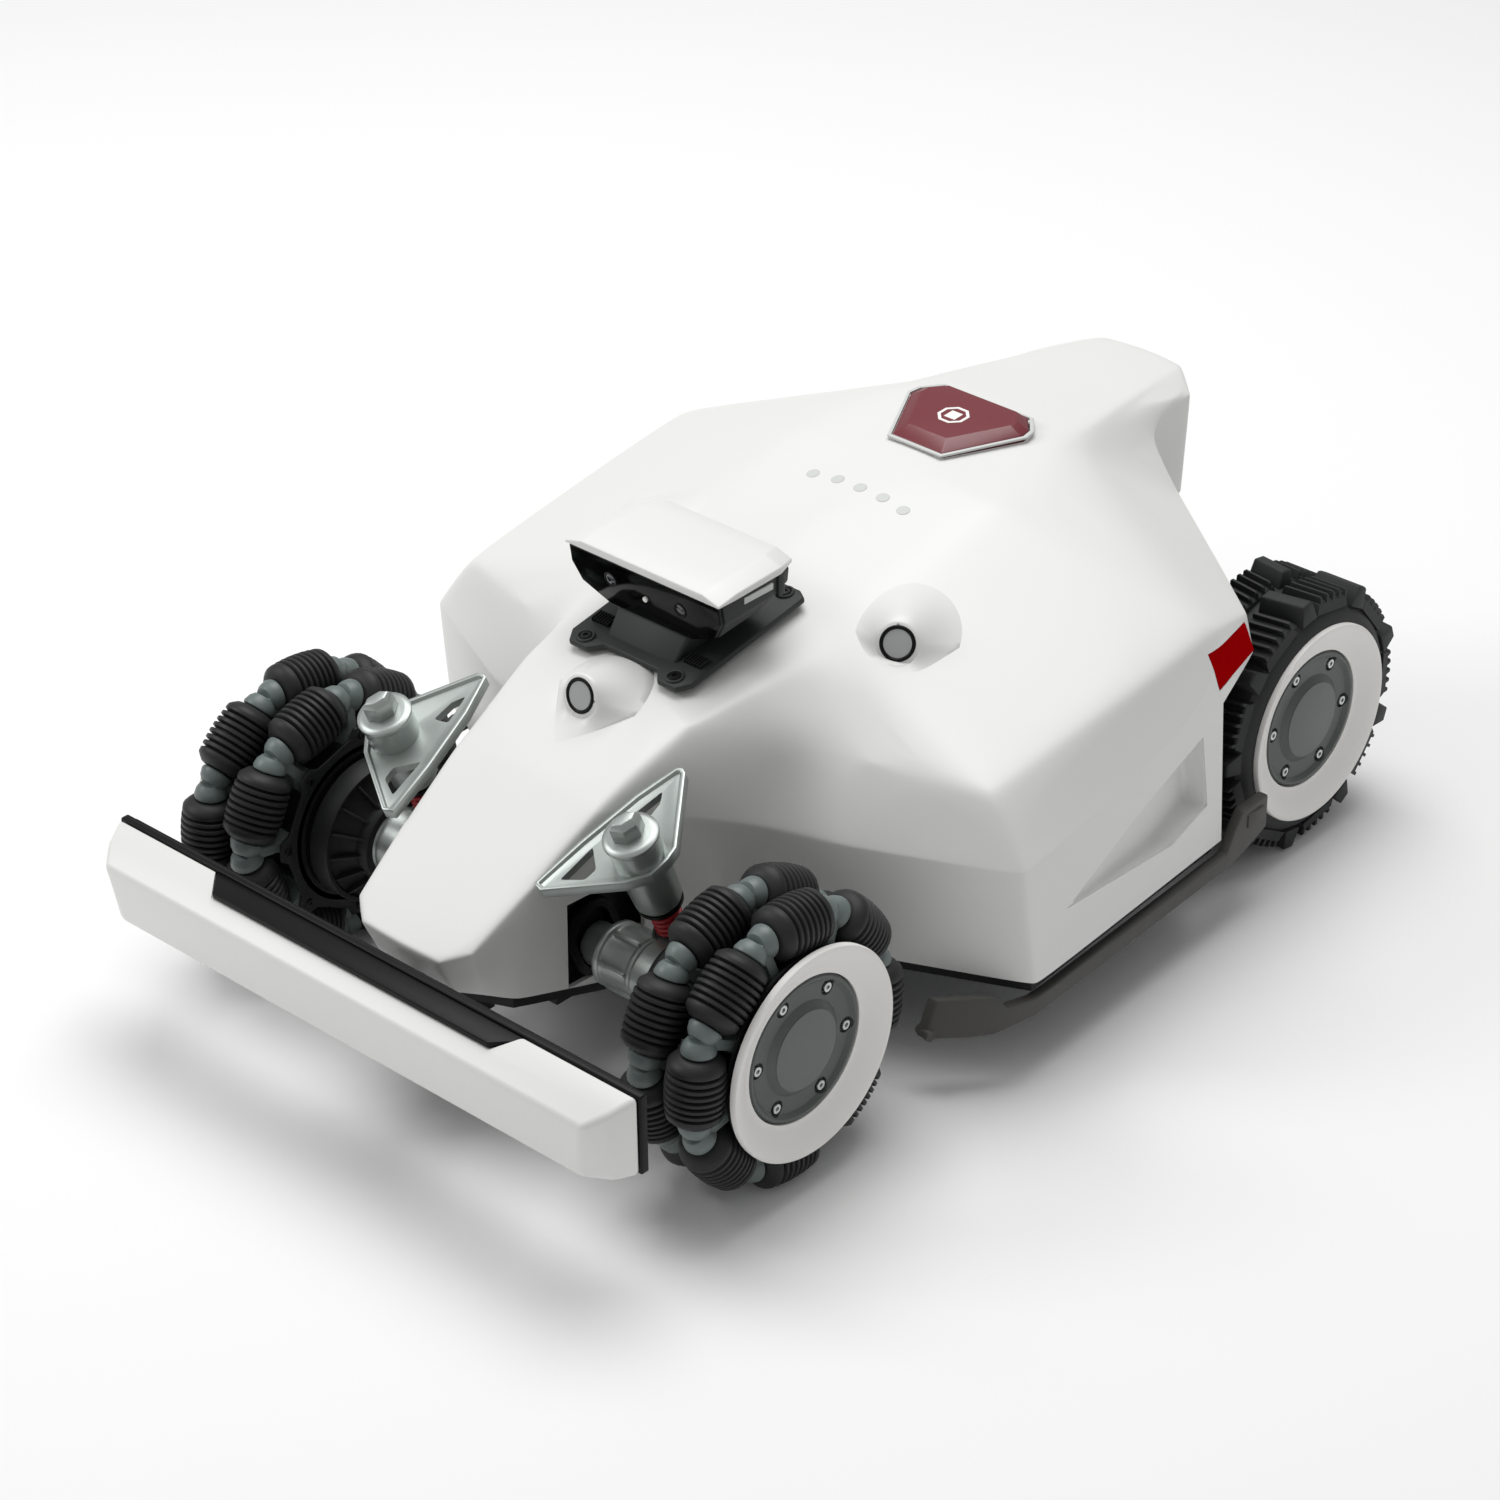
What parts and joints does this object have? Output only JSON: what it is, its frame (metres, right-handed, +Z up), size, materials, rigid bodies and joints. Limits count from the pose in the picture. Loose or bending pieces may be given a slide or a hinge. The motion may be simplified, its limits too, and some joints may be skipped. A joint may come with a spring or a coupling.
{
  "type": "robotic lawn mower",
  "caption": "Four-wheeled robotic lawn mower with a white shell, front omni wheels on sprung struts, camera head, sprung bumper, stop button and cutting deck.",
  "frame": {"origin": "middle of the footprint, on the ground", "axes": "+Z up; the front faces -Y; the machine's own left side is +X"},
  "size_m": [0.46, 0.6828, 0.2644],
  "materials": {
    "white_plastic": "satin moulded",
    "black_plastic": "fine grain moulded",
    "grey_plastic": "fine grain moulded",
    "black_glass": "polished, opaque black",
    "sensor_plastic": "polished",
    "red_lens": "polished, tinted",
    "cast_alloy": "die cast, satin",
    "red_spring": "powder coated",
    "soft_rubber": "matt",
    "red_button": "satin moulded",
    "tyre_rubber": "matt moulded",
    "roller_rubber": "matt moulded",
    "blade_steel": "brushed"
  },
  "bodies": {
    "chassis": {"top_shell": "white_plastic", "chassis_pan": "black_plastic", "camera_base": "grey_plastic", "camera_head": "grey_plastic", "camera_window": "black_glass", "nose_sensor": "sensor_plastic", "left_shoulder_sensor": "sensor_plastic", "right_shoulder_sensor": "sensor_plastic", "left_tail_lamp": "red_lens", "right_tail_lamp": "red_lens", "left_side_guard": "grey_plastic", "right_side_guard": "grey_plastic", "left_strut_bracket": "cast_alloy", "right_strut_bracket": "cast_alloy", "left_spring": "red_spring", "right_spring": "red_spring"},
    "bumper": {"front_bumper": "white_plastic", "bumper_backing": "soft_rubber"},
    "stop_button": {"stop_button": "red_button"},
    "cutting_deck": {"cutting_deck": "black_plastic"},
    "left_front_arm": {"left_front_arm": "cast_alloy"},
    "right_front_arm": {"right_front_arm": "cast_alloy"},
    "left_front_wheel": {"left_front_hub": "grey_plastic"},
    "right_front_wheel": {"right_front_hub": "grey_plastic"},
    "left_rear_wheel": {"left_rear_wheel": "tyre_rubber"},
    "right_rear_wheel": {"right_rear_wheel": "tyre_rubber"},
    "left_blade_disc": {"left_blade_disc": "blade_steel"},
    "right_blade_disc": {"right_blade_disc": "blade_steel"},
    "roller_left_outer_1": {"roller_left_outer_1": "roller_rubber"},
    "roller_left_outer_2": {"roller_left_outer_2": "roller_rubber"},
    "roller_left_outer_3": {"roller_left_outer_3": "roller_rubber"},
    "roller_left_outer_4": {"roller_left_outer_4": "roller_rubber"},
    "roller_left_outer_5": {"roller_left_outer_5": "roller_rubber"},
    "roller_left_outer_6": {"roller_left_outer_6": "roller_rubber"},
    "roller_left_outer_7": {"roller_left_outer_7": "roller_rubber"},
    "roller_left_outer_8": {"roller_left_outer_8": "roller_rubber"},
    "roller_left_inner_1": {"roller_left_inner_1": "roller_rubber"},
    "roller_left_inner_2": {"roller_left_inner_2": "roller_rubber"},
    "roller_left_inner_3": {"roller_left_inner_3": "roller_rubber"},
    "roller_left_inner_4": {"roller_left_inner_4": "roller_rubber"},
    "roller_left_inner_5": {"roller_left_inner_5": "roller_rubber"},
    "roller_left_inner_6": {"roller_left_inner_6": "roller_rubber"},
    "roller_left_inner_7": {"roller_left_inner_7": "roller_rubber"},
    "roller_left_inner_8": {"roller_left_inner_8": "roller_rubber"},
    "roller_right_outer_1": {"roller_right_outer_1": "roller_rubber"},
    "roller_right_outer_2": {"roller_right_outer_2": "roller_rubber"},
    "roller_right_outer_3": {"roller_right_outer_3": "roller_rubber"},
    "roller_right_outer_4": {"roller_right_outer_4": "roller_rubber"},
    "roller_right_outer_5": {"roller_right_outer_5": "roller_rubber"},
    "roller_right_outer_6": {"roller_right_outer_6": "roller_rubber"},
    "roller_right_outer_7": {"roller_right_outer_7": "roller_rubber"},
    "roller_right_outer_8": {"roller_right_outer_8": "roller_rubber"},
    "roller_right_inner_1": {"roller_right_inner_1": "roller_rubber"},
    "roller_right_inner_2": {"roller_right_inner_2": "roller_rubber"},
    "roller_right_inner_3": {"roller_right_inner_3": "roller_rubber"},
    "roller_right_inner_4": {"roller_right_inner_4": "roller_rubber"},
    "roller_right_inner_5": {"roller_right_inner_5": "roller_rubber"},
    "roller_right_inner_6": {"roller_right_inner_6": "roller_rubber"},
    "roller_right_inner_7": {"roller_right_inner_7": "roller_rubber"},
    "roller_right_inner_8": {"roller_right_inner_8": "roller_rubber"}
  },
  "joints": [
    {"name": "bumper_press", "type": "slide", "parent": "chassis", "child": "bumper", "axis": [0, 1, 0], "range_m": [0, 0.005], "stiffness_N_per_m": 3000},
    {"name": "left_front_strut", "type": "slide", "parent": "chassis", "child": "left_front_arm", "axis": [0, -0.3827, 0.9239], "range_m": [0, 0.012], "stiffness_N_per_m": 4000, "springref_m": -0.012, "deforming": ["left_spring"]},
    {"name": "right_front_strut", "type": "slide", "parent": "chassis", "child": "right_front_arm", "axis": [0, -0.3827, 0.9239], "range_m": [0, 0.012], "stiffness_N_per_m": 4000, "springref_m": -0.012, "deforming": ["right_spring"]},
    {"name": "left_front_wheel_spin", "type": "hinge", "parent": "left_front_arm", "child": "left_front_wheel", "pos_m": [0.1862, -0.1934, 0.0855], "axis": [1, 0, 0], "continuous": true},
    {"name": "right_front_wheel_spin", "type": "hinge", "parent": "right_front_arm", "child": "right_front_wheel", "pos_m": [-0.1862, -0.1934, 0.0855], "axis": [1, 0, 0], "continuous": true},
    {"name": "left_rear_wheel_spin", "type": "hinge", "parent": "chassis", "child": "left_rear_wheel", "pos_m": [0.16, 0.2566, 0.0836], "axis": [1, 0, 0], "continuous": true},
    {"name": "right_rear_wheel_spin", "type": "hinge", "parent": "chassis", "child": "right_rear_wheel", "pos_m": [-0.16, 0.2566, 0.0836], "axis": [1, 0, 0], "continuous": true},
    {"name": "cutting_height", "type": "slide", "parent": "chassis", "child": "cutting_deck", "axis": [0, 0, 1], "range_m": [-0.025, 0.012]},
    {"name": "left_blade_spin", "type": "hinge", "parent": "cutting_deck", "child": "left_blade_disc", "pos_m": [0.095, 0.0491, 0.06], "axis": [0, 0, 1], "continuous": true},
    {"name": "right_blade_spin", "type": "hinge", "parent": "cutting_deck", "child": "right_blade_disc", "pos_m": [-0.095, 0.0491, 0.06], "axis": [0, 0, 1], "continuous": true},
    {"name": "stop_button_press", "type": "slide", "parent": "chassis", "child": "stop_button", "axis": [0, 0, -1], "range_m": [0, 0.003], "stiffness_N_per_m": 1500},
    {"name": "roller_left_outer_1_spin", "type": "hinge", "parent": "left_front_wheel", "child": "roller_left_outer_1", "pos_m": [0.1862, -0.18739, 0.15424], "axis": [0, -0.9962, 0.0872], "continuous": true},
    {"name": "roller_left_outer_2_spin", "type": "hinge", "parent": "left_front_wheel", "child": "roller_left_outer_2", "pos_m": [0.1862, -0.23775, 0.13836], "axis": [0, -0.766, -0.6428], "continuous": true},
    {"name": "roller_left_outer_3_spin", "type": "hinge", "parent": "left_front_wheel", "child": "roller_left_outer_3", "pos_m": [0.1862, -0.26214, 0.09151], "axis": [0, -0.0872, -0.9962], "continuous": true},
    {"name": "roller_left_outer_4_spin", "type": "hinge", "parent": "left_front_wheel", "child": "roller_left_outer_4", "pos_m": [0.1862, -0.24626, 0.04115], "axis": [0, 0.6428, -0.766], "continuous": true},
    {"name": "roller_left_outer_5_spin", "type": "hinge", "parent": "left_front_wheel", "child": "roller_left_outer_5", "pos_m": [0.1862, -0.19941, 0.01676], "axis": [0, 0.9962, -0.0872], "continuous": true},
    {"name": "roller_left_outer_6_spin", "type": "hinge", "parent": "left_front_wheel", "child": "roller_left_outer_6", "pos_m": [0.1862, -0.14905, 0.03264], "axis": [0, 0.766, 0.6428], "continuous": true},
    {"name": "roller_left_outer_7_spin", "type": "hinge", "parent": "left_front_wheel", "child": "roller_left_outer_7", "pos_m": [0.1862, -0.12466, 0.07949], "axis": [0, 0.0872, 0.9962], "continuous": true},
    {"name": "roller_left_outer_8_spin", "type": "hinge", "parent": "left_front_wheel", "child": "roller_left_outer_8", "pos_m": [0.1862, -0.14054, 0.12985], "axis": [0, -0.6428, 0.766], "continuous": true},
    {"name": "roller_left_inner_1_spin", "type": "hinge", "parent": "left_front_wheel", "child": "roller_left_inner_1", "pos_m": [0.1528, -0.16154, 0.1467], "axis": [0, -0.887, 0.4617], "continuous": true},
    {"name": "roller_left_inner_2_spin", "type": "hinge", "parent": "left_front_wheel", "child": "roller_left_inner_2", "pos_m": [0.1528, -0.21415, 0.15131], "axis": [0, -0.9537, -0.3007], "continuous": true},
    {"name": "roller_left_inner_3_spin", "type": "hinge", "parent": "left_front_wheel", "child": "roller_left_inner_3", "pos_m": [0.1528, -0.2546, 0.11736], "axis": [0, -0.4617, -0.887], "continuous": true},
    {"name": "roller_left_inner_4_spin", "type": "hinge", "parent": "left_front_wheel", "child": "roller_left_inner_4", "pos_m": [0.1528, -0.25921, 0.06475], "axis": [0, 0.3007, -0.9537], "continuous": true},
    {"name": "roller_left_inner_5_spin", "type": "hinge", "parent": "left_front_wheel", "child": "roller_left_inner_5", "pos_m": [0.1528, -0.22526, 0.0243], "axis": [0, 0.887, -0.4617], "continuous": true},
    {"name": "roller_left_inner_6_spin", "type": "hinge", "parent": "left_front_wheel", "child": "roller_left_inner_6", "pos_m": [0.1528, -0.17265, 0.01969], "axis": [0, 0.9537, 0.3007], "continuous": true},
    {"name": "roller_left_inner_7_spin", "type": "hinge", "parent": "left_front_wheel", "child": "roller_left_inner_7", "pos_m": [0.1528, -0.1322, 0.05364], "axis": [0, 0.4617, 0.887], "continuous": true},
    {"name": "roller_left_inner_8_spin", "type": "hinge", "parent": "left_front_wheel", "child": "roller_left_inner_8", "pos_m": [0.1528, -0.12759, 0.10625], "axis": [0, -0.3007, 0.9537], "continuous": true},
    {"name": "roller_right_outer_1_spin", "type": "hinge", "parent": "right_front_wheel", "child": "roller_right_outer_1", "pos_m": [-0.1862, -0.18739, 0.15424], "axis": [0, -0.9962, 0.0872], "continuous": true},
    {"name": "roller_right_outer_2_spin", "type": "hinge", "parent": "right_front_wheel", "child": "roller_right_outer_2", "pos_m": [-0.1862, -0.23775, 0.13836], "axis": [0, -0.766, -0.6428], "continuous": true},
    {"name": "roller_right_outer_3_spin", "type": "hinge", "parent": "right_front_wheel", "child": "roller_right_outer_3", "pos_m": [-0.1862, -0.26214, 0.09151], "axis": [0, -0.0872, -0.9962], "continuous": true},
    {"name": "roller_right_outer_4_spin", "type": "hinge", "parent": "right_front_wheel", "child": "roller_right_outer_4", "pos_m": [-0.1862, -0.24626, 0.04115], "axis": [0, 0.6428, -0.766], "continuous": true},
    {"name": "roller_right_outer_5_spin", "type": "hinge", "parent": "right_front_wheel", "child": "roller_right_outer_5", "pos_m": [-0.1862, -0.19941, 0.01676], "axis": [0, 0.9962, -0.0872], "continuous": true},
    {"name": "roller_right_outer_6_spin", "type": "hinge", "parent": "right_front_wheel", "child": "roller_right_outer_6", "pos_m": [-0.1862, -0.14905, 0.03264], "axis": [0, 0.766, 0.6428], "continuous": true},
    {"name": "roller_right_outer_7_spin", "type": "hinge", "parent": "right_front_wheel", "child": "roller_right_outer_7", "pos_m": [-0.1862, -0.12466, 0.07949], "axis": [0, 0.0872, 0.9962], "continuous": true},
    {"name": "roller_right_outer_8_spin", "type": "hinge", "parent": "right_front_wheel", "child": "roller_right_outer_8", "pos_m": [-0.1862, -0.14054, 0.12985], "axis": [0, -0.6428, 0.766], "continuous": true},
    {"name": "roller_right_inner_1_spin", "type": "hinge", "parent": "right_front_wheel", "child": "roller_right_inner_1", "pos_m": [-0.1528, -0.16154, 0.1467], "axis": [0, -0.887, 0.4617], "continuous": true},
    {"name": "roller_right_inner_2_spin", "type": "hinge", "parent": "right_front_wheel", "child": "roller_right_inner_2", "pos_m": [-0.1528, -0.21415, 0.15131], "axis": [0, -0.9537, -0.3007], "continuous": true},
    {"name": "roller_right_inner_3_spin", "type": "hinge", "parent": "right_front_wheel", "child": "roller_right_inner_3", "pos_m": [-0.1528, -0.2546, 0.11736], "axis": [0, -0.4617, -0.887], "continuous": true},
    {"name": "roller_right_inner_4_spin", "type": "hinge", "parent": "right_front_wheel", "child": "roller_right_inner_4", "pos_m": [-0.1528, -0.25921, 0.06475], "axis": [0, 0.3007, -0.9537], "continuous": true},
    {"name": "roller_right_inner_5_spin", "type": "hinge", "parent": "right_front_wheel", "child": "roller_right_inner_5", "pos_m": [-0.1528, -0.22526, 0.0243], "axis": [0, 0.887, -0.4617], "continuous": true},
    {"name": "roller_right_inner_6_spin", "type": "hinge", "parent": "right_front_wheel", "child": "roller_right_inner_6", "pos_m": [-0.1528, -0.17265, 0.01969], "axis": [0, 0.9537, 0.3007], "continuous": true},
    {"name": "roller_right_inner_7_spin", "type": "hinge", "parent": "right_front_wheel", "child": "roller_right_inner_7", "pos_m": [-0.1528, -0.1322, 0.05364], "axis": [0, 0.4617, 0.887], "continuous": true},
    {"name": "roller_right_inner_8_spin", "type": "hinge", "parent": "right_front_wheel", "child": "roller_right_inner_8", "pos_m": [-0.1528, -0.12759, 0.10625], "axis": [0, -0.3007, 0.9537], "continuous": true}
  ]
}
